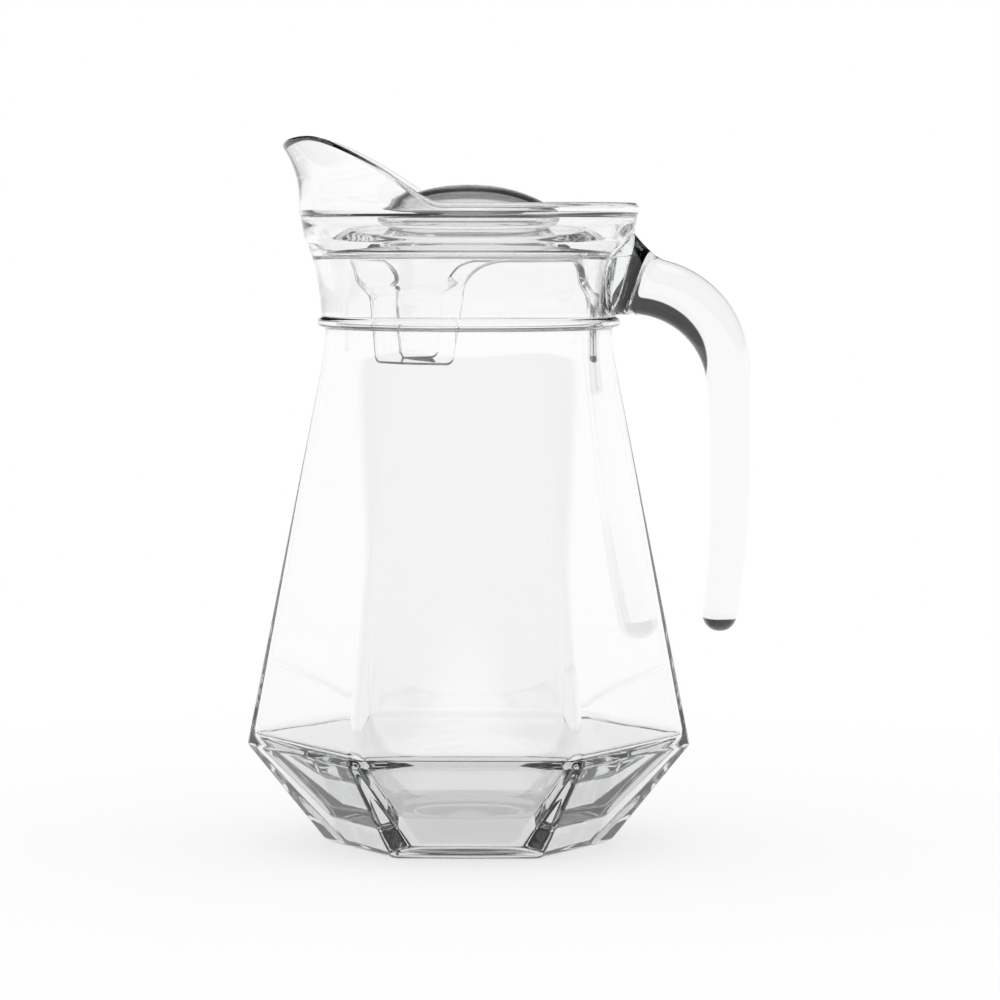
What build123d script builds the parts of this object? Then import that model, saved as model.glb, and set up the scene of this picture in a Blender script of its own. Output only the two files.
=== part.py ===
from build123d import *
import math
import os

# Glass jug with six flat sides that turn into a round neck, and a clear plastic lid that lifts out.
# Lengths are in millimetres, angles in degrees. Z is up from the table, and the Z axis is the jug's own axis.
# The pouring lip points along -X and the handle along +X.

# Sides and corners of the body
side_count = 6
foot_radius = 45.8  # from the axis to a corner of the foot
shoulder_radius = 71.4  # from the axis to a corner at the widest place
floor_radius = 42.0  # from the axis to a corner of the floor inside
foot_corner_round = 3.0
shoulder_corner_round = 4.0
cavity_corner_round = 5.0
corner_angle = 3.5  # half the angle that each corner keeps where the body has turned round
foot_edge_round = 2.0
shoulder_edge_round = 1.5

# Heights of the body, each from the one before it
shoulder_height = 31.4
hollow_rise = 2.6  # from the shoulder to the widest place of the hollow
flank_height = 126.7
collar_height = 6.9
ring_height = 2.9
straight_throat_height = 4.2
seat_rise = 15.7  # from the straight throat to the ledge that carries the lid
groove_rise = 1.8
bulge_rise = 2.7
mouth_rise = 8.7
rim_band_height = 3.5

# Bore of the neck, each step from the one below it
throat_bore = 42.4
seat_step = 2.2
ledge_width = 2.4
bulge_step = 1.2
mouth_step = 2.7
rim_inner_step = 0.8
rim_outer_step = 0.3

# Glass thicknesses
floor_thickness = 8.0
flank_wall = 3.4
collar_wall = 3.3
throat_wall = 4.6
ring_proud = 2.0
seat_wall = 3.7
bulge_wall = 3.9
mouth_wall = 2.8
lip_edge_wall = 2.5
floor_round = 6.0
shoulder_round = 5.0

# Hollow under the foot, which leaves a flat band to stand on
punt_radius = 33.0
punt_depth = 1.5

# Pouring lip
lip_rise = 20.6  # from the rim to the crest
lip_start_rise = 2.0  # from the rim to where the beak begins to lean out
beak_reach = 7.6  # how far the beak would stand out at the crest
beak_angle = 30.0  # from its middle to where its reach has dropped to 1/e
tip_drop = 3.2  # from the crest to the very tip
lip_round = 0.9  # of the fire-polished edges of rim and lip
lip_points = 24  # round each outline of the lip
# Levels of the lip that are outlined, as shares of its leaning part
lip_level_shares = (0, 1 / 3, 2 / 3, 1)
# Crest of the lip in side view: shares of the rim radius from the axis, and shares of the lip's rise
crest_shares = [(0.143, 0.0), (0.232, 0.075), (0.52, 0.56), (0.80, 0.925), (0.95, 1.0)]
tip_share = 1.11

# Handle
handle_reach = 89.6
crown_drop = 17.4  # from the rim to the top of the strap
root_thickness = 18.3
strap_thickness = 13.8
end_thickness = 11.1
outer_bend_radius = 35.6
inner_bend_radius = 23.9
grip_straight = 33.5
grip_curl_height = 44.5
grip_curl = 3.9  # how far the grip comes back in at its end
end_depth = 5.7
grip_hollow = 1.2
strap_width = 17.0
strap_round = 4.6
root_flare_height = 10.0
root_flare_length = 9.0
root_embed = 6.0

# Lid plate
flange_overlap = 0.8  # of the flange on the ledge
flange_edge_height = 1.7
skirt_clearance = 4.4  # from the bore of the neck to the skirt's straight part
plate_rise = 5.3  # from the ledge to the top of the plate
plate_thickness = 2.0
skirt_wall = 2.0
skirt_straight = 5.6
skirt_flare_height = 6.6
leg_clearance = 1.6
leg_depth = 34.1  # from the ledge to the end of the tongue and the legs
arch_drop = 1.2
arch_round = 11.0
leg_corner_round = 2.6
tongue_half_width = 20.4
tongue_end_half_width = 16.8
leg_half_width = 9.2
leg_end_half_width = 7.2
tongue_angle = 237.0  # from +X to the middle of the tongue
leg_spacing = 120.0

# Lid knob
knob_foot_radius = 25.4
knob_rim_radius = 29.4
knob_rim_taper = 0.8
knob_wall = 2.0
knob_waist_height = 2.9
knob_rim_height = 8.2
knob_dome_rise = 8.8
knob_slant_share = 0.5  # of the wall by which the inside's corners are lower or higher than the outside's
spigot_height = 2.4
spigot_wall = 1.6
snap_clearance = 0.3

overrun = 2.0  # by which every cutting solid passes the face that it opens
flat_limit = 0.001  # within which an edge counts as lying in a plane

# Places that follow from the sizes above
half_side = 180 / side_count
hollow_z = shoulder_height + hollow_rise
collar_z = shoulder_height + flank_height
ring_z = collar_z + collar_height
throat_z = ring_z + ring_height
flare_z = throat_z + straight_throat_height
seat_z = flare_z + seat_rise
groove_z = seat_z + groove_rise
bulge_z = groove_z + bulge_rise
mouth_z = bulge_z + mouth_rise
rim_z = mouth_z + rim_band_height
crest_z = rim_z + lip_rise
collar_radius = throat_bore + collar_wall
ring_radius = collar_radius + ring_proud
throat_radius = throat_bore + throat_wall
seat_bore = throat_bore + seat_step
ledge_bore = seat_bore + ledge_width
bulge_bore = ledge_bore + bulge_step
mouth_bore = bulge_bore + mouth_step
mouth_radius = mouth_bore + mouth_wall
rim_bore = mouth_bore - rim_inner_step
rim_radius = mouth_radius + rim_outer_step
root_x = throat_radius - root_embed
plate_radius = throat_bore - skirt_clearance
leg_radius = throat_bore - leg_clearance
leg_end_z = seat_z - leg_depth
plate_z = seat_z + plate_rise
arch_z = seat_z - arch_drop
knob_apex_z = plate_z + knob_rim_height + knob_dome_rise


def polar(radius, angle, height):
    """A point at a radius and an angle round the jug's axis."""
    turn = math.radians(angle)
    return (radius * math.cos(turn), radius * math.sin(turn), height)


def arc_middle(centre, radius, angle):
    """A point of an arc in side view, at an angle up from the centre's right."""
    turn = math.radians(angle)
    return (centre[0] + radius * math.cos(turn), centre[1] + radius * math.sin(turn))


def sided_outline(corner_radius, corner_round, height):
    """The flat six-sided face with rounded corners at a height. Its edges start after the corner on +X."""
    side_turn = math.radians(half_side)
    flat = corner_radius * math.cos(side_turn)
    half_length = (flat - corner_round) * math.tan(side_turn)
    reach = math.hypot(flat, half_length)
    swing = math.degrees(math.atan2(half_length, flat))
    tip = corner_radius - corner_round / math.cos(side_turn) + corner_round
    edges = []
    for side in range(side_count):
        middle = (2 * side + 1) * half_side
        start = polar(reach, middle - swing, height)
        end = polar(reach, middle + swing, height)
        corner = polar(tip, middle + half_side, height)
        next_start = polar(reach, middle + 2 * half_side - swing, height)
        edges += [Line(start, end), ThreePointArc(end, corner, next_start)]
    return Face(Wire(edges))


def round_outline(radius, height):
    """The round face at a height, divided at the same places as the six-sided one."""
    swing = half_side - corner_angle
    edges = []
    for side in range(side_count):
        middle = (2 * side + 1) * half_side
        turns = (-swing, 0, swing, half_side, half_side + corner_angle)
        points = [polar(radius, middle + turn, height) for turn in turns]
        edges += [ThreePointArc(*points[:3]), ThreePointArc(*points[2:])]
    return Face(Wire(edges))


def revolved(outline):
    """The ring that a closed outline of radius and height makes round the jug's axis."""
    return revolve(Plane.XZ * make_face(outline), Axis.Z)


def level_edges(solid, height):
    """The edges of a solid that lie flat at a height."""
    level = []
    for edge in solid.edges():
        box = edge.bounding_box()
        if abs(box.min.Z - height) < flat_limit and abs(box.max.Z - height) < flat_limit:
            level.append(edge)
    return level


def flank_outside():
    """The glass up to the collar as a solid: six-sided foot, wider six-sided shoulder, round collar."""
    outlines = [
        sided_outline(foot_radius, foot_corner_round, 0),
        sided_outline(shoulder_radius, shoulder_corner_round, shoulder_height),
        round_outline(collar_radius, collar_z),
    ]
    glass = loft(outlines, ruled=True)
    for height, size in ((shoulder_height, shoulder_edge_round), (0, foot_edge_round)):
        glass = glass.fillet(size, level_edges(glass, height))
    return glass


def flank_inside():
    """The hollow of the body. It follows the flat sides, and its wall thickens from the shoulder to the floor."""
    corner_wall = flank_wall / math.cos(math.radians(half_side))
    outlines = [
        sided_outline(floor_radius, cavity_corner_round, floor_thickness),
        sided_outline(shoulder_radius - corner_wall, cavity_corner_round, hollow_z),
        round_outline(throat_bore, collar_z),
    ]
    hollow = loft(outlines, ruled=True)
    for height, size in ((floor_thickness, floor_round), (hollow_z, shoulder_round)):
        hollow = hollow.fillet(size, level_edges(hollow, height))
    return hollow


def neck_outline():
    """The outside of the neck in radius and height, from the collar to the mouth."""
    bead = (ring_radius, ring_z + ring_height / 2)
    groove = (ledge_bore + seat_wall, groove_z)
    bulge = (bulge_bore + bulge_wall, bulge_z)
    return [
        Line((collar_radius, collar_z), (collar_radius, ring_z)),
        ThreePointArc((collar_radius, ring_z), bead, (throat_radius, throat_z)),
        TangentArc((throat_radius, throat_z), groove, tangent=(0, 1)),
        Line(groove, bulge),
        Line(bulge, (mouth_radius, mouth_z)),
    ]


def neck():
    """Collar, ring bead, flared throat, ledge for the lid and mouth, up to the rim band."""
    inside = [
        Line((mouth_radius, mouth_z), (mouth_bore, mouth_z)),
        Line((mouth_bore, mouth_z), (bulge_bore, bulge_z)),
        Line((bulge_bore, bulge_z), (ledge_bore, seat_z)),
        Line((ledge_bore, seat_z), (seat_bore, seat_z)),
        TangentArc((throat_bore, flare_z), (seat_bore, seat_z), tangent=(0, 1)),
        Line((throat_bore, flare_z), (throat_bore, collar_z)),
        Line((throat_bore, collar_z), (collar_radius, collar_z)),
    ]
    return revolved(neck_outline() + inside)


def lip_outline(height, inset):
    """The round outline of the rim at a height, drawn out to a beak towards -X."""
    lean = max(0, height - rim_z - lip_start_rise) / (lip_rise - lip_start_rise)
    points = []
    for number in range(lip_points):
        turn = 360 * number / lip_points - 180
        beak = beak_reach * lean**2 * math.exp(-((turn / beak_angle) ** 2))
        points.append(polar(rim_radius + beak - inset, turn + 180, height))
    return Face(Wire(Spline(*points, periodic=True)))


def rim_and_lip():
    """The rim band all round and the raised pouring lip on its -X side, with polished edges."""
    heights = [mouth_z]
    heights += [rim_z + lip_start_rise + (lip_rise - lip_start_rise) * share for share in lip_level_shares]
    heights += [crest_z + overrun]
    rim_wall = rim_radius - rim_bore
    outside, inside = [], []
    for height in heights:
        thinning = max(0, height - rim_z) / lip_rise * (rim_wall - lip_edge_wall)
        outside.append(lip_outline(height, 0))
        inside.append(lip_outline(height, rim_wall - thinning))
    crest = [(-rim_radius * across, rim_z + lip_rise * up) for across, up in crest_shares]
    tip = (-rim_radius * tip_share, crest_z - tip_drop)
    far = rim_radius + beak_reach + overrun
    below_tip = (-far, tip[1] - far + rim_radius * tip_share)
    side_view = [
        Line((far, mouth_z), (far, rim_z)),
        Line((far, rim_z), crest[0]),
        Spline(*crest, tip, tangents=[(-1, 0), (-1, -1)]),
        Line(tip, below_tip),
        Line(below_tip, (-far, mouth_z)),
        Line((-far, mouth_z), (far, mouth_z)),
    ]
    wall = (loft(outside) - loft(inside)) & extrude(Plane.XZ * make_face(side_view), far, both=True)
    brim = [edge for edge in wall.edges() if edge.bounding_box().min.Z > rim_z - flat_limit]
    return wall.fillet(lip_round, [edge for edge in brim if edge.length > 2 * rim_wall])


def punt():
    """The shallow domed hollow under the foot."""
    section = [
        TangentArc((0, punt_depth), (punt_radius, 0), tangent=(1, 0)),
        Line((punt_radius, 0), (punt_radius, -overrun)),
        Line((punt_radius, -overrun), (0, -overrun)),
        Line((0, -overrun), (0, punt_depth)),
    ]
    return revolved(section)


def jug_body():
    """The pressed glass vessel, in one piece."""
    return flank_outside() + neck() + rim_and_lip() - flank_inside() - punt()


def handle_side_view():
    """The outline of the handle from the side, with its root inside the neck."""
    crown_z = rim_z - crown_drop
    under_z = crown_z - root_thickness
    inner_reach = handle_reach - strap_thickness
    outer_bend = (handle_reach - outer_bend_radius, crown_z - outer_bend_radius)
    inner_bend = (inner_reach - inner_bend_radius, under_z - inner_bend_radius)
    curl_z = outer_bend[1] - grip_straight
    end_z = curl_z - grip_curl_height
    outer_end = (handle_reach - grip_curl, end_z)
    inner_end = (outer_end[0] - end_thickness, end_z)
    end_middle = ((inner_end[0] + outer_end[0]) / 2, end_z - end_depth)
    inner_middle = (inner_reach + grip_hollow, (inner_bend[1] + end_z) / 2)
    flare_x = mouth_radius + root_flare_length
    flare_turn = math.acos((flare_x - outer_bend[0]) / outer_bend_radius)
    flare = (flare_x, outer_bend[1] + outer_bend_radius * math.sin(flare_turn))
    flare_top = (bulge_bore + bulge_wall, crown_z + root_flare_height)
    bend_middle = arc_middle(outer_bend, outer_bend_radius, math.degrees(flare_turn) / 2)
    return [
        Line((root_x, under_z), (inner_bend[0], under_z)),
        ThreePointArc(
            (inner_bend[0], under_z),
            arc_middle(inner_bend, inner_bend_radius, 45),
            (inner_reach, inner_bend[1]),
        ),
        ThreePointArc((inner_reach, inner_bend[1]), inner_middle, inner_end),
        ThreePointArc(inner_end, end_middle, outer_end),
        TangentArc((handle_reach, curl_z), outer_end, tangent=(0, -1)),
        Line((handle_reach, curl_z), (handle_reach, outer_bend[1])),
        ThreePointArc((handle_reach, outer_bend[1]), bend_middle, flare),
        TangentArc(flare, flare_top, tangent=(-math.sin(flare_turn), math.cos(flare_turn))),
        Line(flare_top, (root_x, flare_top[1])),
        Line((root_x, flare_top[1]), (root_x, under_z)),
    ]


def jug_handle():
    """The open-ended strap, with round edges, cut to the neck that it is stuck on."""
    strap = extrude(Plane.XZ * make_face(handle_side_view()), strap_width / 2, both=True)
    sides = strap.faces().filter_by(Plane.XZ).edges()
    free = [edge for edge in sides if edge.bounding_box().max.X > root_x + flat_limit]
    strap = strap.fillet(strap_round, free)
    to_axis = [
        Line((mouth_radius, mouth_z), (0, mouth_z)),
        Line((0, mouth_z), (0, collar_z)),
        Line((0, collar_z), (collar_radius, collar_z)),
    ]
    return strap - revolved(neck_outline() + to_axis)


def skirt_section():
    """The wall of the skirt in radius and height: straight, then flared, then straight again."""
    straight_z = arch_z - skirt_straight
    flared_z = straight_z - skirt_flare_height
    edges = []
    for inset in (0, skirt_wall):
        top, foot = plate_radius - inset, leg_radius - inset
        edges += [
            Line((top, arch_z), (top, straight_z)),
            Spline((top, straight_z), (foot, flared_z), tangents=[(0, -1), (0, -1)]),
            Line((foot, flared_z), (foot, leg_end_z)),
        ]
    edges += [Line((plate_radius, arch_z), (plate_radius - skirt_wall, arch_z))]
    edges += [Line((leg_radius, leg_end_z), (leg_radius - skirt_wall, leg_end_z))]
    return edges


def lobe(half_width, end_half_width, angle):
    """A block that keeps one tongue or leg of the skirt, from arch to arch, with round lower corners."""
    top = half_width + arch_round
    low_z = arch_z - arch_round
    edges = [
        Line((-top, arch_z), (top, arch_z)),
        Line((-end_half_width, leg_end_z), (end_half_width, leg_end_z)),
    ]
    for side in (-1, 1):
        arch_start, arch_end = (side * top, arch_z), (side * half_width, low_z)
        arch_middle = arc_middle((top, low_z), arch_round, 135)
        edges += [
            ThreePointArc(arch_start, (side * arch_middle[0], arch_middle[1]), arch_end),
            Line(arch_end, (side * end_half_width, leg_end_z)),
        ]
    outline = make_face(edges)
    outline = fillet(outline.vertices().sort_by(Axis.Y)[:2], leg_corner_round)
    plane = Plane((0, 0, 0), x_dir=polar(1, angle + 90, 0), z_dir=polar(1, angle, 0))
    return extrude(plane * outline, leg_radius + overrun)


def lid_plate():
    """The plate with its flange and skirt, one closing tongue and two narrow legs."""
    spigot_radius = knob_foot_radius - knob_wall - snap_clearance
    flange_radius = seat_bore + flange_overlap
    section = Polyline(
        (0, plate_z - plate_thickness),
        (0, plate_z),
        (spigot_radius - spigot_wall, plate_z),
        (spigot_radius - spigot_wall, plate_z + spigot_height),
        (spigot_radius, plate_z + spigot_height),
        (spigot_radius, plate_z),
        (plate_radius, plate_z),
        (flange_radius, seat_z + flange_edge_height),
        (flange_radius, seat_z),
        (plate_radius, seat_z),
        (plate_radius, arch_z),
        (plate_radius - skirt_wall, arch_z),
        (plate_radius - skirt_wall, plate_z - plate_thickness),
        close=True,
    )
    keep = lobe(tongue_half_width, tongue_end_half_width, tongue_angle)
    for side in (-1, 1):
        keep += lobe(leg_half_width, leg_end_half_width, tongue_angle + side * leg_spacing)
    return revolved(section) + (revolved(skirt_section()) & keep)


def knob_side(inset):
    """Half of the knob's side view, from its foot over the rim to the apex, set in from its outside."""
    foot, rim = knob_foot_radius - inset, knob_rim_radius - inset
    waist = (rim - knob_rim_taper, plate_z + knob_waist_height + inset * knob_slant_share)
    edge = (rim, plate_z + knob_rim_height - inset * knob_slant_share)
    return [
        Line((foot, plate_z), waist),
        Line(waist, edge),
        TangentArc((0, knob_apex_z - inset), edge, tangent=(1, 0)),
    ]


def lid_knob():
    """The hollow grip cap, a body of revolution that is snapped over the plate's spigot."""
    section = knob_side(0) + knob_side(knob_wall)
    section += [
        Line((knob_foot_radius - knob_wall, plate_z), (knob_foot_radius, plate_z)),
        Line((0, knob_apex_z - knob_wall), (0, knob_apex_z)),
    ]
    return revolved(section)


parts = {
    "jug_body": jug_body(),
    "jug_handle": jug_handle(),
    "lid_plate": lid_plate(),
    "lid_knob": lid_knob(),
}

os.makedirs("parts", exist_ok=True)
for name, solid in parts.items():
    export_step(solid, f"parts/{name}.step")
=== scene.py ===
"""Six-sided glass pitcher with a clear plastic lid, dressed for a studio picture.

The jug is pressed soda-lime glass: a six-sided body that turns round towards the neck, a ring bead, a
flared throat with a ledge for the lid, and a raised pouring lip. Its open-ended strap handle is stuck on
hot. The lid is a clear moulded plate with a skirt, and a hollow grip cap that is snapped on it.
"""
from __future__ import annotations

import logging
import math
from dataclasses import dataclass
from enum import Enum
from typing import Sequence

import bmesh
import bpy
from mathutils import Matrix, Vector

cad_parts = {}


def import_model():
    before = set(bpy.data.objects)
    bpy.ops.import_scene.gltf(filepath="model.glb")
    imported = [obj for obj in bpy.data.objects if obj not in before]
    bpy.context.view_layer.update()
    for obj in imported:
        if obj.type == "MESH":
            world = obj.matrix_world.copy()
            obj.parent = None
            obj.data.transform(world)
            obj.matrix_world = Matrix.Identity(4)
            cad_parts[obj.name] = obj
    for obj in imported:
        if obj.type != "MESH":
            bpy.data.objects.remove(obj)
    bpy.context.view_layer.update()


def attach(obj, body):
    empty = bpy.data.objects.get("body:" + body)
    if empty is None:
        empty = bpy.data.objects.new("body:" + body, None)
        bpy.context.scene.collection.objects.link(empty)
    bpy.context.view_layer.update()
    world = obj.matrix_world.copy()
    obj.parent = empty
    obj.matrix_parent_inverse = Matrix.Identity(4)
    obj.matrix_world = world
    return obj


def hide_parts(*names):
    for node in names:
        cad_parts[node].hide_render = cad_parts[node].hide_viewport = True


log = logging.getLogger("pitcher")
# A millimetre in metres
MM = 0.001
# Degrees past which an edge stays sharp
SHARP_ANGLE = 30.0
# How often light may bend through the clear walls, and how often it may be reflected
MOST_BOUNCES = 24
FEWER_BOUNCES = 12
# Mean distance in millimetres up to which two rings count as the same
SAME_RING = 0.01
Ring = list[Vector]


# Colours, nodes and finishes


def srgb(code: str) -> tuple[float, float, float, float]:
    """Turns an sRGB hex colour to the linear colour that a shader takes.

    Args:
        code: Six hex digits.

    Returns:
        Linear red, green, blue and an alpha of 1.
    """
    parts = [int(code[i : i + 2], 16) / 255 for i in (0, 2, 4)]
    linear = [p / 12.92 if p <= 0.04045 else ((p + 0.055) / 1.055) ** 2.4 for p in parts]
    return (linear[0], linear[1], linear[2], 1.0)


def add_node(
    tree: bpy.types.NodeTree, kind: str, links: dict[int | str, object] | None = None, **settings: object
) -> bpy.types.Node:
    """Adds one node to a node tree.

    Args:
        tree: The tree that gets the node.
        kind: The node's type name.
        links: Input name or number to an output socket or a plain value.
        **settings: The node's own properties.

    Returns:
        The new node.
    """
    node = tree.nodes.new(kind)
    for name, value in settings.items():
        setattr(node, name, value)
    for name, value in (links or {}).items():
        if isinstance(value, bpy.types.NodeSocket):
            tree.links.new(value, node.inputs[name])
        else:
            node.inputs[name].default_value = value
    return node


@dataclass(frozen=True)
class ClearFinish:
    """A clear, colourless solid: light bends in it and is dimmed by the depth that it crosses."""

    name: str
    ior: float
    roughness: float
    tint: str
    density: float

    def material(self) -> bpy.types.Material:
        """Makes the material.

        Returns:
            The material, with each even value on the shader's own socket.
        """
        material = bpy.data.materials.new(self.name)
        material.use_nodes = True
        tree = material.node_tree
        tree.nodes.clear()
        surface = add_node(
            tree,
            "ShaderNodeBsdfPrincipled",
            {
                "Base Color": (1.0, 1.0, 1.0, 1.0),
                "Roughness": self.roughness,
                "IOR": self.ior,
                "Transmission Weight": 1.0,
            },
        )
        depth = add_node(
            tree, "ShaderNodeVolumeAbsorption", {"Color": srgb(self.tint), "Density": self.density}
        )
        add_node(
            tree,
            "ShaderNodeOutputMaterial",
            {"Surface": surface.outputs["BSDF"], "Volume": depth.outputs["Volume"]},
        )
        return material


# Soda-lime glass, pressed in a mould and fire-polished. It is quite smooth, so its edges show as clean
# lines of bent light. The tint by depth is stronger than such glass has, so that thick parts show on white.
SODA_LIME_GLASS = ClearFinish("pressed_soda_lime_glass", 1.52, 0.0, "C8CCCC", 8.0)
# Clear styrene, injection moulded in a polished tool. A slight haze makes its lines softer than those of
# the glass.
CLEAR_PLASTIC = ClearFinish("clear_moulded_styrene", 1.55, 0.015, "D2D4D4", 8.0)


# From a bmesh to a piece


def piece_from(
    shape: bmesh.types.BMesh, name: str, material: bpy.types.Material, sharp: float = SHARP_ANGLE
) -> bpy.types.Object:
    """Turns a bmesh in millimetres into a finished object in metres.

    Args:
        shape: The mesh, which is freed.
        name: The object's name.
        material: Its material.
        sharp: The angle in degrees past which an edge stays sharp.

    Returns:
        The object, linked to the scene, at the origin.
    """
    bmesh.ops.scale(shape, vec=(MM, MM, MM), verts=shape.verts)
    mesh = bpy.data.meshes.new(name)
    shape.to_mesh(mesh)
    shape.free()
    mesh.shade_smooth()
    mesh.set_sharp_from_angle(angle=math.radians(sharp))
    mesh.materials.append(material)
    piece = bpy.data.objects.new(name, mesh)
    bpy.context.scene.collection.objects.link(piece)
    return piece


# Rings of points, and skins through them


def towards(turn: float) -> Vector:
    """The level direction at an angle in radians from +X."""
    return Vector((math.cos(turn), math.sin(turn), 0.0))


def mix_rings(first: Ring, second: Ring, share: float) -> Ring:
    """The ring that lies at a share of the way from one ring to another."""
    return [a.lerp(b, share) for a, b in zip(first, second)]


def ring_gap(first: Ring, second: Ring) -> float:
    """The mean distance between two rings' points."""
    return sum((a - b).length for a, b in zip(first, second)) / len(first)


def eased(keys: Sequence[tuple[Ring, float]], steps: int, span: float) -> list[Ring]:
    """Rings that follow key outlines, with a soft bend at each of them.

    Args:
        keys: Each key ring, with the length over which its bend is eased.
        steps: Rings in each bend.
        span: The longest gap between two rings on the straight parts.

    Returns:
        All the rings in order.
    """
    rings: list[Ring] = [keys[0][0]]
    for (before, _), (bend, ease), (after, _) in zip(keys, keys[1:], keys[2:]):
        start = mix_rings(bend, before, min(1.0, ease / ring_gap(bend, before)))
        end = mix_rings(bend, after, min(1.0, ease / ring_gap(bend, after)))
        rings += straight_rings(rings[-1], start, span)
        for step in range(1, steps + 1):
            share = step / steps
            inward = mix_rings(start, bend, share)
            outward = mix_rings(bend, end, share)
            rings.append(mix_rings(inward, outward, share))
    return rings + straight_rings(rings[-1], keys[-1][0], span)


def straight_rings(first: Ring, last: Ring, span: float) -> list[Ring]:
    """Evenly spaced rings after the first one, up to the last one.

    Args:
        first: The ring that they start from, which isn't among them.
        last: The ring that they end with.
        span: The longest gap between two rings.

    Returns:
        The rings, or none where the two ends are the same.
    """
    gap = ring_gap(first, last)
    count = math.ceil(gap / span) if gap > SAME_RING else 0
    return [mix_rings(first, last, step / count) for step in range(1, count + 1)]


def skin(rings: Sequence[Ring], name: str) -> bmesh.types.BMesh:
    """A closed skin through rings of equally many points, with a pole at each end.

    Args:
        rings: The rings, from one pole to the other.
        name: What is made, for the log line.

    Returns:
        The skin, in millimetres, with its faces outwards.
    """
    shape = bmesh.new()
    bmesh.ops.create_circle(shape, cap_ends=True, cap_tris=True, segments=len(rings[0]), radius=1.0)
    hub = next(v for v in shape.verts if len(v.link_edges) > 3)
    loop = [v for v in shape.verts if v is not hub]
    hub.co = sum(rings[0], Vector()) / len(rings[0])
    for vert, point in zip(loop, rings[0]):
        vert.co = point
    for ring in rings[1:]:
        edges = [loop_edge(loop[i - 1], loop[i]) for i in range(len(loop))]
        made = bmesh.ops.extrude_edge_only(shape, edges=edges)["geom"]
        fresh = {v for v in made if isinstance(v, bmesh.types.BMVert)}
        loop = [
            next(e.other_vert(v) for e in v.link_edges if e.other_vert(v) in fresh) for v in loop
        ]
        for vert, point in zip(loop, ring):
            vert.co = point
    bmesh.ops.pointmerge(shape, verts=loop, merge_co=sum(rings[-1], Vector()) / len(rings[-1]))
    bmesh.ops.recalc_face_normals(shape, faces=shape.faces)
    log.info("%s: skin of %d rings", name, len(rings))
    return shape


def loop_edge(first: bmesh.types.BMVert, second: bmesh.types.BMVert) -> bmesh.types.BMEdge:
    """The edge between two neighbours in a ring."""
    return next(e for e in first.link_edges if e.other_vert(first) is second)


def fused(body: bmesh.types.BMesh, addition: bmesh.types.BMesh) -> bmesh.types.BMesh:
    """Joins two closed skins to one.

    Args:
        body: The first skin, which is freed.
        addition: The second skin, which is freed.

    Returns:
        The joined skin, in the same unit.
    """
    halves = []
    for shape in (body, addition):
        mesh = bpy.data.meshes.new("half")
        shape.to_mesh(mesh)
        shape.free()
        halves.append(bpy.data.objects.new("half", mesh))
        bpy.context.scene.collection.objects.link(halves[-1])
    join = halves[0].modifiers.new("join", "BOOLEAN")
    join.operation = "UNION"
    join.solver = "EXACT"
    join.object = halves[1]
    made = halves[0].evaluated_get(bpy.context.evaluated_depsgraph_get())
    whole = bmesh.new()
    whole.from_mesh(made.to_mesh())
    for half in halves:
        bpy.data.meshes.remove(half.data)
    return whole


# Jug


class Face(Enum):
    """The two faces of a wall."""

    INSIDE = "inside"
    OUTSIDE = "outside"


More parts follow.
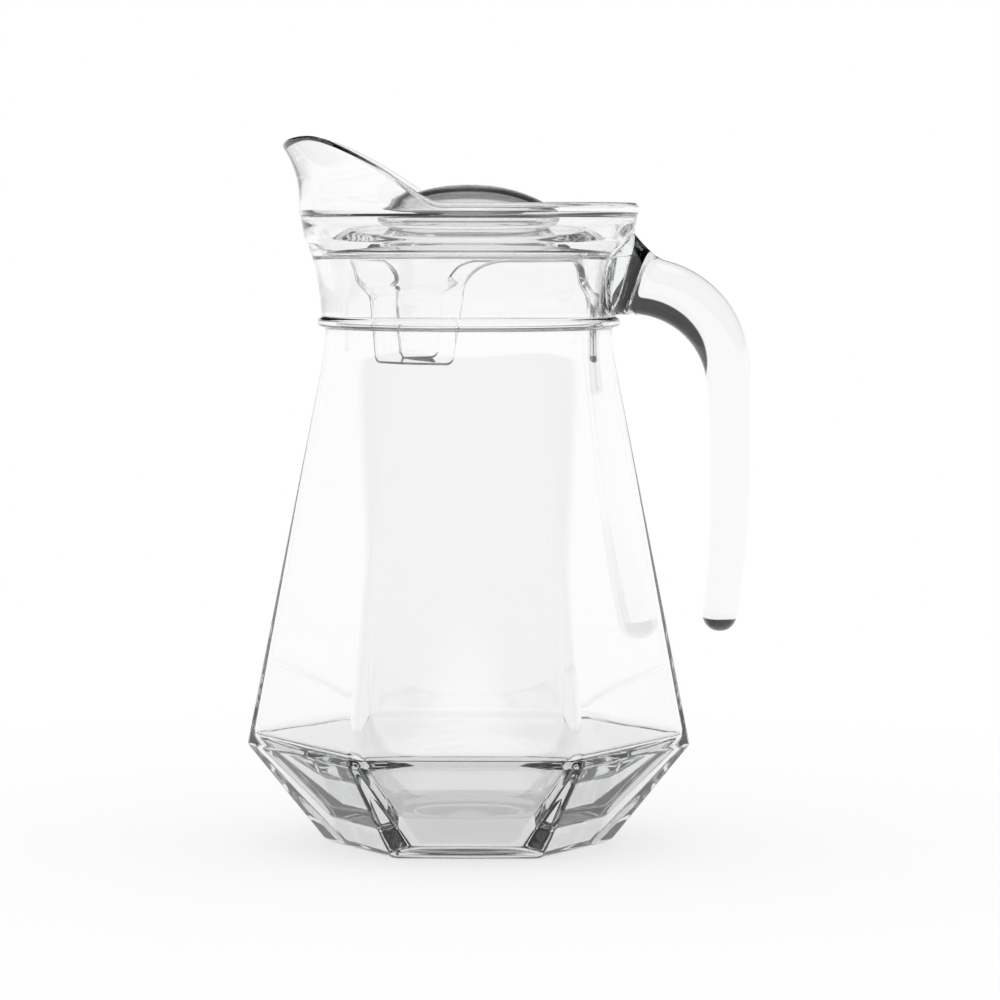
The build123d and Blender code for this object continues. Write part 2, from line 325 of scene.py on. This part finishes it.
@dataclass
class Jug:
    """The jug's glass in millimetres: six-sided body, round neck, lip and strap handle."""

    side_count: int = 6
    flat_steps: int = 22
    corner_steps: int = 10
    foot_radius: float = 45.8
    shoulder_radius: float = 71.4
    foot_corner_round: float = 3.0
    shoulder_corner_round: float = 4.0
    cavity_corner_round: float = 5.0
    floor_radius: float = 33.5
    hollow_z: float = 34.0
    corner_turn: float = 3.5
    shoulder_z: float = 31.4
    floor_z: float = 6.5
    floor_ease: float = 1.0
    foot_ease: float = 2.0
    shoulder_ease: float = 0.8
    cavity_shoulder_ease: float = 2.4
    flank_wall: float = 3.4
    punt_radius: float = 33.0
    punt_depth: float = 1.5
    rim_z: float = 204.5
    mouth_z: float = 201.0
    rim_radius: float = 54.0
    rim_wall: float = 3.9
    lip_rise: float = 20.6
    lip_start_rise: float = 2.0
    lip_edge_wall: float = 2.5
    lip_round: float = 1.75
    beak_reach: float = 7.6
    beak_angle: float = 30.0
    pole_radius: float = 1.5
    punt_edge_ease: float = 0.4
    punt_mid_share: float = 0.75
    wall_gap: float = 0.4
    bend_steps: int = 7
    span: float = 5.0
    brim_steps: int = 6
    brim_span: float = 1.0
    crest_passes: int = 25

    # Radius, height and ease of the bends of the neck, upwards
    NECK_OUTSIDE = (
        (45.7, 158.1, 3.0), (45.7, 164.9, 0.4), (48.0, 165.1, 1.15), (48.0, 167.7, 0.9), (46.9, 168.2, 0.3),
        (47.1, 178.7, 10.1), (50.7, 189.6, 0.5), (52.1, 192.3, 0.8), (53.6, 200.6, 0.6),
    )
    NECK_INSIDE = (
        (42.4, 158.1, 3.0), (42.4, 180.0, 7.6), (44.6, 187.8, 0.3), (47.0, 187.8, 0.5), (48.2, 192.3, 1.2),
        (50.9, 200.6, 0.5), (50.1, 201.4, 0.5),
    )
    # Crest in side view: distance from the axis and rise, as shares of the rim's radius and the lip's rise
    CREST = ((0.143, 0.0), (0.232, 0.075), (0.52, 0.56), (0.80, 0.925), (0.95, 1.0), (1.11, 0.845))
    # Where the lip's rings lie, as shares of its height
    LIP_SHARES = (0, 0.08, 0.16, 0.26, 0.38, 0.5, 0.62, 0.72, 0.81, 0.89, 0.95, 1)

    def sided(self, corner_radius: float, corner_round: float, height: float) -> Ring:
        """The six-sided outline with round corners at a height.

        Args:
            corner_radius: From the axis to a corner, before it's rounded.
            corner_round: Radius of the corners.
            height: Height of the ring.

        Returns:
            The ring, from the corner on +X.
        """
        half = math.pi / self.side_count
        flat = corner_radius * math.cos(half)
        half_length = (flat - corner_round) * math.tan(half)
        hub = corner_radius - corner_round / math.cos(half)
        up = Vector((0.0, 0.0, height))
        ring = []
        for side in range(self.side_count):
            middle = (2 * side + 1) * half
            along = towards(middle + math.pi / 2)
            for step in range(self.flat_steps):
                share = 2 * step / self.flat_steps - 1
                ring.append(towards(middle) * flat + along * (half_length * share) + up)
            for step in range(self.corner_steps):
                turn = middle + 2 * half * step / self.corner_steps
                ring.append(towards(middle + half) * hub + towards(turn) * corner_round + up)
        return ring

    def turns(self) -> list[float]:
        """The angles of a round ring's points, which match the six-sided one's.

        Returns:
            Angles from +X in radians.
        """
        half = math.pi / self.side_count
        corner = math.radians(self.corner_turn)
        swing = half - corner
        turns = []
        for side in range(self.side_count):
            middle = (2 * side + 1) * half
            turns += [middle + swing * (2 * step / self.flat_steps - 1) for step in range(self.flat_steps)]
            end = middle + swing
            turns += [end + 2 * corner * step / self.corner_steps for step in range(self.corner_steps)]
        return turns

    def turned(self, radius: float, height: float) -> Ring:
        """The round outline at a height."""
        return [towards(turn) * radius + Vector((0.0, 0.0, height)) for turn in self.turns()]

    def crest_height(self, out: float) -> float:
        """Height of the lip's top edge at a distance from the axis towards -X.

        Args:
            out: The distance.

        Returns:
            The height.
        """
        knots = [(self.rim_radius * a, self.rim_z + self.lip_rise * b) for a, b in self.CREST]
        slopes = [0.0]
        slopes += [
            (after[1] - before[1]) / (after[0] - before[0]) for before, after in zip(knots, knots[2:])
        ]
        slopes.append(-1.0)
        if out <= knots[0][0]:
            return self.rim_z
        for index in range(len(knots) - 1):
            (x0, z0), (x1, z1) = knots[index], knots[index + 1]
            if out <= x1:
                width = x1 - x0
                t = (out - x0) / width
                return (
                    z0 * (1 + 2 * t) * (1 - t) ** 2
                    + slopes[index] * width * t * (1 - t) ** 2
                    + z1 * t * t * (3 - 2 * t)
                    + slopes[index + 1] * width * t * t * (t - 1)
                )
        return knots[-1][1] - (out - knots[-1][0])

    def lip_radius(self, turn: float, height: float, face: Face) -> float:
        """Radius of the rim's or the lip's wall.

        Args:
            turn: Angle from +X in radians.
            height: Height of the point.
            face: The face of the wall.

        Returns:
            The radius.
        """
        lean = max(0.0, height - self.rim_z - self.lip_start_rise) / (self.lip_rise - self.lip_start_rise)
        off = math.degrees(math.remainder(turn - math.pi, 2 * math.pi))
        radius = self.rim_radius + self.beak_reach * lean**2 * math.exp(-((off / self.beak_angle) ** 2))
        if face is Face.INSIDE:
            thin = max(0.0, height - self.rim_z) / self.lip_rise
            radius -= self.rim_wall - thin * (self.rim_wall - self.lip_edge_wall)
        return radius

    def lip_tops(self, face: Face) -> Ring:
        """The line where the lip's wall would meet its top face, before the edge is rounded.

        Args:
            face: The face of the wall.

        Returns:
            The line.
        """
        ring = []
        for turn in self.turns():
            height = self.rim_z
            for _ in range(self.crest_passes):
                out = -self.lip_radius(turn, height, face) * math.cos(turn)
                height = self.crest_height(out)
            ring.append(towards(turn) * self.lip_radius(turn, height, face) + Vector((0, 0, height)))
        return ring

    def lip_wall(self, tops: Ring, face: Face, start: float) -> list[Ring]:
        """Rings up one face of the lip, to where its edge begins to round.

        Args:
            tops: The line at its top.
            face: The face of the wall.
            start: Height of the lowest ring.

        Returns:
            The rings upwards.
        """
        rings = []
        for share in self.LIP_SHARES:
            ring = []
            for turn, top in zip(self.turns(), tops):
                height = start + (top.z - self.lip_round - start) * share
                ring.append(towards(turn) * self.lip_radius(turn, height, face) + Vector((0, 0, height)))
            rings.append(ring)
        return rings

    def rings(self) -> list[Ring]:
        """All rings of the glass.

        Returns:
            The rings, from the floor's middle up inside, over the lip and down outside.
        """
        corner_wall = self.flank_wall / math.cos(math.pi / self.side_count)
        inside = eased(
            [
                (self.turned(self.pole_radius, self.floor_z), 0.0),
                (self.sided(self.floor_radius, self.cavity_corner_round, self.floor_z), self.floor_ease),
                (
                    self.sided(self.shoulder_radius - corner_wall, self.cavity_corner_round, self.hollow_z),
                    self.cavity_shoulder_ease,
                ),
                *((self.turned(r, z), ease) for r, z, ease in self.NECK_INSIDE),
            ],
            self.bend_steps, self.span,
        )
        inner_tops = self.lip_tops(Face.INSIDE)
        outer_tops = self.lip_tops(Face.OUTSIDE)
        inner = self.lip_wall(inner_tops, Face.INSIDE, self.NECK_INSIDE[-1][1] + self.wall_gap)
        outer = self.lip_wall(outer_tops, Face.OUTSIDE, self.mouth_z + self.wall_gap)
        brim = eased(
            [
                (inner[-1], 0.0),
                (inner_tops, self.lip_round),
                (outer_tops, self.lip_round),
                (outer[-1], 0.0),
            ],
            self.brim_steps, self.brim_span,
        )
        outside = eased(
            [
                *((self.turned(r, z), ease) for r, z, ease in reversed(self.NECK_OUTSIDE)),
                (
                    self.sided(self.shoulder_radius, self.shoulder_corner_round, self.shoulder_z),
                    self.shoulder_ease,
                ),
                (self.sided(self.foot_radius, self.foot_corner_round, 0.0), self.foot_ease),
                (self.turned(self.punt_radius, 0.0), self.punt_edge_ease),
                (
                    self.turned(self.punt_radius / 2, self.punt_depth * self.punt_mid_share),
                    self.punt_radius / 3,
                ),
                (self.turned(self.pole_radius, self.punt_depth), 0.0),
            ],
            self.bend_steps, self.span,
        )
        return inside + inner[:-1] + brim + outer[-2::-1] + outside

    def build(self, material: bpy.types.Material) -> bpy.types.Object:
        """Makes the glass and fuses the handle to it.

        Args:
            material: The glass.

        Returns:
            The finished piece.
        """
        whole = fused(skin(self.rings(), "jug"), Handle().skin())
        return piece_from(whole, "jug_glass", material)


@dataclass
class Handle:
    """The strap in millimetres. Its root lies inside the neck's wall, and its lower end hangs free."""

    reach: float = 89.6
    crown_z: float = 187.1
    root_thickness: float = 18.3
    strap_thickness: float = 13.8
    end_thickness: float = 11.1
    outer_bend: float = 35.6
    inner_bend: float = 23.9
    straight: float = 33.5
    curl_height: float = 44.5
    curl: float = 3.9
    hollow: float = 1.8
    end_depth: float = 5.7
    half_width: float = 8.5
    root_width_gain: float = 1.9
    neck_radius: float = 47.5
    squareness: float = 2.5
    around: int = 56
    root_steps: int = 12
    bend_steps: int = 30
    grip_steps: int = 40
    end_steps: int = 10
    tip_gap: float = 0.07

    # Root in side view: its upper line starts inside the wall and is pulled towards a second point, both as x
    # and z. Then x where its lower line starts, and x where the flare meets the outer bend
    ROOT_TOP = (50.6, 197.6)
    ROOT_PULL = (57.9, 187.2)
    ROOT_LOW = 44.0
    FLARE_X = 62.7

    def sides(self) -> list[tuple[Vector, Vector]]:
        """Where the strap's two lines run in side view.

        Returns:
            Pairs of points on the outer and the inner line, from the root to the end.
        """
        outer_hub = Vector((self.reach - self.outer_bend, 0, self.crown_z - self.outer_bend))
        inner_reach = self.reach - self.strap_thickness
        under_z = self.crown_z - self.root_thickness
        inner_hub = Vector((inner_reach - self.inner_bend, 0, under_z - self.inner_bend))
        turn = math.acos((self.FLARE_X - outer_hub.x) / self.outer_bend)
        flare = outer_hub + Vector((math.cos(turn), 0, math.sin(turn))) * self.outer_bend
        top, pull = (Vector((x, 0, z)) for x, z in (self.ROOT_TOP, self.ROOT_PULL))
        low = Vector((self.ROOT_LOW, 0, under_z))
        pairs = []
        for step in range(self.root_steps):
            share = step / self.root_steps
            outer = top.lerp(pull, share).lerp(pull.lerp(flare, share), share)
            pairs.append((outer, low.lerp(Vector((inner_hub.x, 0, under_z)), share)))
        for step in range(self.bend_steps):
            left = 1 - step / self.bend_steps
            outer = Vector((math.cos(turn * left), 0, math.sin(turn * left))) * self.outer_bend
            quarter = math.pi / 2 * left
            inner = Vector((math.cos(quarter), 0, math.sin(quarter))) * self.inner_bend
            pairs.append((outer_hub + outer, inner_hub + inner))
        grip = self.straight + self.curl_height
        end_z = outer_hub.z - grip
        for step in range(self.grip_steps + 1):
            share = step / self.grip_steps
            past = max(0.0, grip * share - self.straight) / self.curl_height
            outer = Vector((self.reach - self.curl * past**2, 0, outer_hub.z - grip * share))
            lean = self.reach - self.curl - self.end_thickness - inner_reach
            inner_x = inner_reach + lean * share + 4 * self.hollow * share * (1 - share)
            pairs.append((outer, Vector((inner_x, 0, inner_hub.z + (end_z - inner_hub.z) * share))))
        return pairs

    def section(self, outer: Vector, inner: Vector, width: float, shrink: float, drop: float) -> Ring:
        """One softly squared ring of the strap.

        Args:
            outer: Its point on the outer line.
            inner: Its point on the inner line.
            width: Half of its width.
            shrink: Share of its full size that is kept.
            drop: How far it's moved down.

        Returns:
            The ring.
        """
        middle = (outer + inner) / 2 - Vector((0, 0, drop))
        half = (outer - inner) / 2
        ring = []
        for step in range(self.around):
            turn = 2 * math.pi * step / self.around
            across, along = (
                math.copysign(abs(value) ** (2 / self.squareness), value)
                for value in (math.cos(turn), math.sin(turn))
            )
            ring.append(middle + half * (across * shrink) + Vector((0, width * along * shrink, 0)))
        return ring

    def skin(self) -> bmesh.types.BMesh:
        """Makes the strap's closed skin. Its root widens and wraps round the neck.

        Returns:
            The skin.
        """
        rings = []
        for index, (outer, inner) in enumerate(self.sides()):
            near = max(0.0, 1 - index / self.root_steps)
            width = self.half_width * (1 + self.root_width_gain * near**4)
            ring = self.section(outer, inner, width, 1.0, 0.0)
            for point in ring:
                point.x -= near**2 * point.y**2 / (2 * self.neck_radius)
            rings.append(ring)
        outer, inner = self.sides()[-1]
        for step in range(1, self.end_steps):
            turn = math.pi / 2 * step / self.end_steps
            drop = self.end_depth * math.sin(turn)
            rings.append(self.section(outer, inner, self.half_width, math.cos(turn), drop))
        last = rings[-1]
        rings.append([sum(last, Vector()) / len(last) - Vector((0, 0, self.tip_gap))] * len(last))
        return skin(rings, "handle")


# Lid


@dataclass
class Knob:
    """The hollow grip cap in millimetres: slanted foot, rounded rim and shallow dome, with an even wall."""

    around: int = 128
    bend_steps: int = 8
    span: float = 1.5

    # Radius, height and ease of each bend, from the apex outside to the apex inside
    BENDS = (
        (0.6, 210.1, 0.0), (16.0, 210.1, 14.8), (29.4, 201.3, 1.1), (28.6, 196.0, 0.8), (25.4, 193.1, 0.4),
        (23.4, 193.1, 0.4), (26.5, 197.0, 0.8), (27.4, 200.3, 0.8), (14.9, 208.1, 13.4), (0.6, 208.1, 0.0),
    )

    def circle(self, radius: float, height: float) -> Ring:
        """A level circle."""
        turns = (2 * math.pi * step / self.around for step in range(self.around))
        return [towards(turn) * radius + Vector((0, 0, height)) for turn in turns]

    def build(self, material: bpy.types.Material) -> bpy.types.Object:
        """Makes the cap.

        Args:
            material: The plastic.

        Returns:
            The finished piece.
        """
        keys = [(self.circle(radius, height), ease) for radius, height, ease in self.BENDS]
        rings = eased(keys, self.bend_steps, self.span)
        return piece_from(skin(rings, "knob"), "knob_clear", material)


@dataclass
class LidPlate:
    """The plate in millimetres, with its flange and a skirt that ends in one wide tongue and two legs."""

    arch_z: float = 186.6
    leg_end_z: float = 153.7
    arch_round: float = 11.0
    leg_corner_round: float = 2.6
    top_radius: float = 38.0
    leg_radius: float = 40.8
    tongue_radius: float = 34.0
    skirt_wall: float = 2.0
    straight: float = 5.6
    flare: float = 6.6
    edge_ease: float = 0.95
    columns_radius: float = 39.5
    tongue_reach: float = 60.0
    end_steps: int = 7
    corner_steps: int = 9
    side_steps: int = 12
    arch_steps: int = 14
    gap_steps: int = 24
    wall_steps: int = 24
    bend_steps: int = 5
    span: float = 4.0
    edge_span: float = 1.0
    sharp_angle: float = 35.0

    # Middle angle of each lobe of the skirt, and half of its width at the arches and at its end
    LOBES = ((117.0, 9.2, 7.2), (237.0, 20.4, 16.8), (357.0, 9.2, 7.2))
    # Radius, height and ease of each bend, first over the top to the skirt's outside, and then from its
    # inside to the middle
    ABOVE = (
        (0.6, 193.1, 0.0), (21.5, 193.1, 0.3), (21.5, 195.5, 0.35), (23.1, 195.5, 0.35), (23.1, 193.1, 0.2),
        (38.0, 193.1, 1.2), (45.4, 189.5, 0.5), (45.4, 188.1, 0.4), (38.0, 188.1, 0.3), (38.0, 187.5, 0.0),
    )
    BELOW = ((36.0, 187.5, 0.0), (36.0, 191.1, 0.8), (0.6, 191.1, 0.0))

    def half_lobe(self, half_width: float, end_half_width: float) -> list[tuple[float, float, float, float]]:
        """Half of one lobe's lower edge, from its middle to the top of the arch.

        Args:
            half_width: Half of its width at the arches.
            end_half_width: Half of its width at its end.

        Returns:
            Distance from the middle, height, and the direction into the plastic, of each point.
        """
        low, high = self.leg_end_z, self.arch_z - self.arch_round
        lean = math.atan2(half_width - end_half_width, high - low)
        corner = self.leg_corner_round
        hub = end_half_width + math.tan(lean) * corner - corner / math.cos(lean)
        points = [(hub * step / self.end_steps, low, 0.0, 1.0) for step in range(self.end_steps)]
        for step in range(self.corner_steps + 1):
            turn = -math.pi / 2 + (math.pi / 2 - lean) * step / self.corner_steps
            out, up = math.cos(turn), math.sin(turn)
            points.append((hub + corner * out, low + corner + corner * up, -out, -up))
        start = points[-1]
        for step in range(1, self.side_steps):
            share = step / self.side_steps
            across = start[0] + (half_width - start[0]) * share
            points.append((across, start[1] + (high - start[1]) * share, start[2], start[3]))
        for step in range(self.arch_steps + 1):
            turn = math.pi - math.pi / 2 * step / self.arch_steps
            out, up = math.cos(turn), math.sin(turn)
            points.append(
                (half_width + self.arch_round * (1 + out), high + self.arch_round * up, out, up)
            )
        return points

    def columns(self) -> list[tuple[float, float, float, float]]:
        """All columns of points round the skirt.

        Returns:
            For each one its angle and height on the lower edge, and then where the wall above it ends.
        """
        columns = []
        for number, (middle, half_width, end_half_width) in enumerate(self.LOBES):
            half = self.half_lobe(half_width, end_half_width)
            both = [(-t, z, -nt, nz) for t, z, nt, nz in reversed(half[1:])] + half
            for t, z, nt, nz in both:
                turns = [
                    math.radians(middle) + math.asin(place / self.columns_radius)
                    for place in (t, t + nt * self.edge_ease)
                ]
                columns.append((turns[0], z, turns[1], z + nz * self.edge_ease))
            following = self.LOBES[(number + 1) % len(self.LOBES)]
            start = columns[-1][0]
            end = math.radians(following[0] + (360 if number == len(self.LOBES) - 1 else 0))
            end -= math.asin((following[1] + self.arch_round) / self.columns_radius)
            for step in range(1, self.gap_steps):
                turn = start + (end - start) * step / self.gap_steps
                columns.append((turn, self.arch_z, turn, self.arch_z + self.edge_ease))
        return columns

    def skirt_radius(self, turn: float, height: float) -> float:
        """Outer radius of the skirt. Below its straight part the tongue steps in and the legs step out.

        Args:
            turn: Angle from +X in radians.
            height: Height of the point.

        Returns:
            The radius.
        """
        share = (self.arch_z - self.straight - height) / self.flare
        share = min(1.0, max(0.0, share))
        tongue_turn = math.radians(self.LOBES[1][0])
        off = abs(math.degrees(math.remainder(turn - tongue_turn, 2 * math.pi)))
        end = self.tongue_radius if off < self.tongue_reach else self.leg_radius
        return self.top_radius + (end - self.top_radius) * share * share * (3 - 2 * share)

    def wall(self, inset: float, start: float) -> list[Ring]:
        """Rings down one face of the skirt, to where its edge begins to round.

        Args:
            inset: How far the face lies inside the skirt's outside.
            start: Height of the first ring.

        Returns:
            The rings downwards.
        """
        rings = []
        for step in range(self.wall_steps + 1):
            ring = []
            for _, _, turn, end in self.columns():
                height = start + (end - start) * step / self.wall_steps
                radius = self.skirt_radius(turn, height) - inset
                ring.append(towards(turn) * radius + Vector((0, 0, height)))
            rings.append(ring)
        return rings

    def build(self, material: bpy.types.Material) -> bpy.types.Object:
        """Makes the plate.

        Args:
            material: The plastic.

        Returns:
            The finished piece.
        """
        above, below = (
            eased(
                [
                    (
                        [towards(turn) * radius + Vector((0, 0, height)) for _, _, turn, _ in self.columns()],
                        ease,
                    )
                    for radius, height, ease in bends
                ],
                self.bend_steps, self.span,
            )
            for bends in (self.ABOVE, self.BELOW)
        )
        outer = self.wall(0.0, self.ABOVE[-1][1])
        inner = self.wall(self.skirt_wall, self.BELOW[0][1])
        edges = [
            [
                towards(turn) * (self.skirt_radius(turn, z) - inset) + Vector((0, 0, z))
                for turn, z, _, _ in self.columns()
            ]
            for inset in (0.0, self.skirt_wall)
        ]
        edge = eased(
            [(outer[-1], 0.0), (edges[0], self.edge_ease), (edges[1], self.edge_ease), (inner[-1], 0.0)],
            self.bend_steps, self.edge_span,
        )
        rings = above + outer[1:-1] + edge + inner[-2:0:-1] + below
        return piece_from(skin(rings, "lid plate"), "lid_plate_clear", material, self.sharp_angle)


# Studio


@dataclass
class Studio:
    """Table, surroundings and camera. Lengths are in metres, but the camera's sensor is in millimetres.

    Turns are in degrees. The edges of wall and sheet are heights on a ball of radius 1 round the scene, so
    0.13 is 7.5 degrees above level. A picture from level or above has only table and wall behind the jug,
    from whichever side.
    """

    camera_azimuth: float = 0.81
    camera_distance: float = 1.412
    camera_height: float = 0.2067
    camera_yaw: float = -0.405
    camera_pitch: float = 3.932
    camera_roll: float = -0.07
    view_angle: float = 12.863
    sensor_width: float = 36.0
    clip_near: float = 0.01
    clip_far: float = 50.0
    floor_radius: float = 0.35
    floor_drop: float = 0.0002
    floor_sides: int = 96
    even_share: float = 0.7
    wall_top: float = 0.13
    wall_fade: float = 0.04
    sheet_start: float = 0.86
    sheet_fade: float = 0.04
    ceiling_glow: float = 0.04

    def build(self) -> None:
        """Makes all of the studio."""
        self.floor()
        self.world()
        self.camera()

    def floor(self) -> None:
        """A round, plain, matt white table, which has no gloss, so that only a shadow shows on it.

        Camera, reflected and refracted rays see the same table: the even share of white, and the rest with
        the real shadow, which is therefore fainter than it would be.
        """
        shape = bmesh.new()
        bmesh.ops.create_circle(
            shape, cap_ends=True, segments=self.floor_sides, radius=self.floor_radius / MM
        )
        bmesh.ops.translate(shape, vec=(0, 0, -self.floor_drop / MM), verts=shape.verts)
        material = bpy.data.materials.new("matt_white_table")
        material.use_nodes = True
        tree = material.node_tree
        tree.nodes.clear()
        rays = add_node(tree, "ShaderNodeLightPath")
        seen = add_node(
            tree, "ShaderNodeMath",
            {0: rays.outputs["Is Camera Ray"], 1: rays.outputs["Is Glossy Ray"]}, operation="MAXIMUM",
        )
        seen = add_node(
            tree, "ShaderNodeMath", {0: seen.outputs[0], 1: rays.outputs["Is Transmission Ray"]},
            operation="MAXIMUM",
        )
        share = add_node(
            tree, "ShaderNodeMath", {0: seen.outputs[0], 1: self.even_share}, operation="MULTIPLY"
        )
        matt = add_node(tree, "ShaderNodeBsdfDiffuse", {"Color": (1, 1, 1, 1)})
        lit = add_node(tree, "ShaderNodeEmission", {"Color": (1, 1, 1, 1), "Strength": 1.0})
        both = add_node(
            tree, "ShaderNodeMixShader",
            {0: share.outputs[0], 1: matt.outputs[0], 2: lit.outputs[0]},
        )
        add_node(tree, "ShaderNodeOutputMaterial", {"Surface": both.outputs[0]})
        floor = piece_from(shape, "table_top", material)

    def world(self) -> None:
        """A white wall all round the table, a dark ceiling above it and a white sheet straight overhead.

        Camera, reflected and refracted rays see the same, so the glass shows the background that the picture
        has. The dark ceiling draws its lines. Only the light on matt surfaces is even.
        """
        world = bpy.data.worlds.new("white_wall")
        bpy.context.scene.world = world
        world.use_nodes = True
        tree = world.node_tree
        tree.nodes.clear()
        place = add_node(tree, "ShaderNodeTexCoord")
        axes = add_node(tree, "ShaderNodeSeparateXYZ", {0: place.outputs["Generated"]})
        wall = add_node(
            tree, "ShaderNodeMapRange",
            {0: axes.outputs[2], 1: self.wall_top, 2: self.wall_top + self.wall_fade, 3: 1.0, 4: 0.0},
            interpolation_type="SMOOTHSTEP",
        )
        sheet = add_node(
            tree, "ShaderNodeMapRange",
            {
                0: axes.outputs[2], 1: self.sheet_start, 2: self.sheet_start + self.sheet_fade,
                3: 0.0, 4: 1.0,
            },
            interpolation_type="SMOOTHSTEP",
        )
        rays = add_node(tree, "ShaderNodeLightPath")
        strength = wall
        for other in (sheet.outputs[0], self.ceiling_glow, rays.outputs["Is Diffuse Ray"]):
            strength = add_node(
                tree, "ShaderNodeMath", {0: strength.outputs[0], 1: other}, operation="MAXIMUM"
            )
        glow = add_node(
            tree, "ShaderNodeBackground", {"Color": (1, 1, 1, 1), "Strength": strength.outputs[0]}
        )
        add_node(tree, "ShaderNodeOutputWorld", {"Surface": glow.outputs[0]})

    def camera(self) -> None:
        """The camera at the picture's angle."""
        data = bpy.data.cameras.new("camera")
        data.sensor_width = self.sensor_width
        data.lens = data.sensor_width / 2 / math.tan(math.radians(self.view_angle) / 2)
        data.clip_start = self.clip_near
        data.clip_end = self.clip_far
        camera = bpy.data.objects.new("camera", data)
        turn = math.radians(self.camera_azimuth)
        distance = self.camera_distance
        camera.location = (distance * math.sin(turn), -distance * math.cos(turn), self.camera_height)
        camera.rotation_mode = "QUATERNION"
        aim = turn + math.radians(self.camera_yaw)
        pitch = math.radians(self.camera_pitch)
        level_share = math.cos(pitch)
        ahead = Vector((-math.sin(aim) * level_share, math.cos(aim) * level_share, -math.sin(pitch)))
        level = ahead.to_track_quat("-Z", "Y").to_matrix().to_4x4()
        rolled = level @ Matrix.Rotation(math.radians(-self.camera_roll), 4, "Z")
        camera.rotation_quaternion = rolled.to_quaternion()
        bpy.context.scene.collection.objects.link(camera)
        bpy.context.scene.camera = camera


# All together


def main() -> None:
    """Builds the studio and the pieces in order."""
    logging.basicConfig(level=logging.INFO, format="%(message)s")
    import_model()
    scene = bpy.context.scene
    scene.view_settings.view_transform = "Standard"
    scene.cycles.max_bounces = MOST_BOUNCES
    scene.cycles.transmission_bounces = MOST_BOUNCES
    scene.cycles.glossy_bounces = FEWER_BOUNCES
    scene.cycles.transparent_max_bounces = FEWER_BOUNCES
    Studio().build()
    glass = SODA_LIME_GLASS.material()
    plastic = CLEAR_PLASTIC.material()
    jug = Jug().build(glass)
    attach(jug, "jug")
    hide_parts("jug_body", "jug_handle")
    knob = Knob().build(plastic)
    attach(knob, "lid_cap")
    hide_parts("lid_knob")
    plate = LidPlate().build(plastic)
    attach(plate, "lid")
    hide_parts("lid_plate")
    for piece in (jug, knob, plate):
        log.info("%s: made, %d faces", piece.name, len(piece.data.polygons))


if __name__ == "__main__":
    main()
